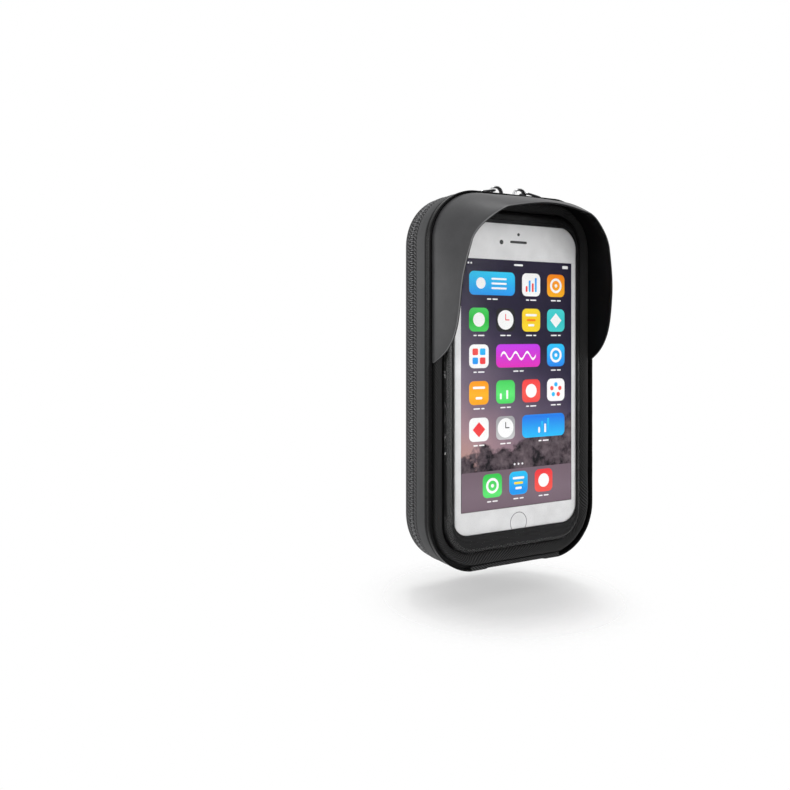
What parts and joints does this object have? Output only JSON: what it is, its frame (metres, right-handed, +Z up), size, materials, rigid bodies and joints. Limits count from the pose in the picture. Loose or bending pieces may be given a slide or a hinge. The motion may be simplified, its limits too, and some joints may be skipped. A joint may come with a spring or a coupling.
{
  "type": "top tube phone bag",
  "caption": "Hard-shell bicycle phone bag with a zipped tub, hinged window lid, sun visor, phone pocket and hook-and-loop straps.",
  "frame": {"origin": "bottom centre of the bounding box, on the surface that the hinge end stands on", "axes": "+Z up along the bag from the cloth hinge to the sliders, -Y out of the window, +X to the right as seen from the front"},
  "size_m": [0.1, 0.0776, 0.189],
  "materials": {
    "shell": "fabric-faced moulded foam, matte",
    "frame_fabric": "fine ribbed weave",
    "zip_tape": "woven zip tape",
    "zip_coil": "nylon coil",
    "piping": "satin bead",
    "bezel": "smooth satin black",
    "film": "clear soft film",
    "visor": "fine-grained satin sheet",
    "foam": "closed-cell foam",
    "webbing": "woven webbing",
    "slider_metal": "polished nickel",
    "pad_rubber": "ribbed rubber",
    "phone_body": "bead-blasted",
    "phone_front": "gloss white glass",
    "phone_screen": "glass over a lit display"
  },
  "bodies": {
    "tub": {"tub_shell": "shell", "tub_zip_tape": "zip_tape", "tub_zip_teeth": "zip_coil", "hinge_cloth_tub": "frame_fabric", "back_pad": "pad_rubber", "strap_loop_upper": "webbing", "strap_loop_lower": "webbing", "strap_upper": "webbing", "strap_lower": "webbing"},
    "lid": {"lid_shell": "shell", "lid_piping": "piping", "lid_frame_band": "frame_fabric", "lid_zip_tape": "zip_tape", "lid_zip_teeth": "zip_coil", "hinge_cloth_lid": "frame_fabric", "window_film": "film", "window_bezel": "bezel", "visor": "visor", "pocket_foam": "foam", "pocket_flap": "frame_fabric", "phone_pad": "foam", "phone_body": "phone_body", "phone_front": "phone_front", "phone_screen": "phone_screen"},
    "slider_left": {"slider_left": "slider_metal"},
    "slider_right": {"slider_right": "slider_metal"},
    "pull_left": {"pull_left": "slider_metal"},
    "pull_right": {"pull_right": "slider_metal"}
  },
  "joints": [
    {"name": "lid_hinge", "type": "hinge", "parent": "tub", "child": "lid", "pos_m": [0, 0.00595, 0.0004], "axis": [1, 0, 0], "range_deg": [0, 100]},
    {"name": "slider_left_slide", "type": "slide", "parent": "tub", "child": "slider_left", "axis": [1, 0, 0], "range_m": [-0.02, 0.0027]},
    {"name": "slider_right_slide", "type": "slide", "parent": "tub", "child": "slider_right", "axis": [1, 0, 0], "range_m": [-0.0027, 0.004]},
    {"name": "pull_left_swing", "type": "hinge", "parent": "slider_left", "child": "pull_left", "pos_m": [-0.0016, 0.00595, 0.1863], "axis": [0, 1, 0], "range_deg": [-10, 150]},
    {"name": "pull_right_swing", "type": "hinge", "parent": "slider_right", "child": "pull_right", "pos_m": [0.0176, 0.00595, 0.1863], "axis": [0, -1, 0], "range_deg": [-10, 150]}
  ]
}
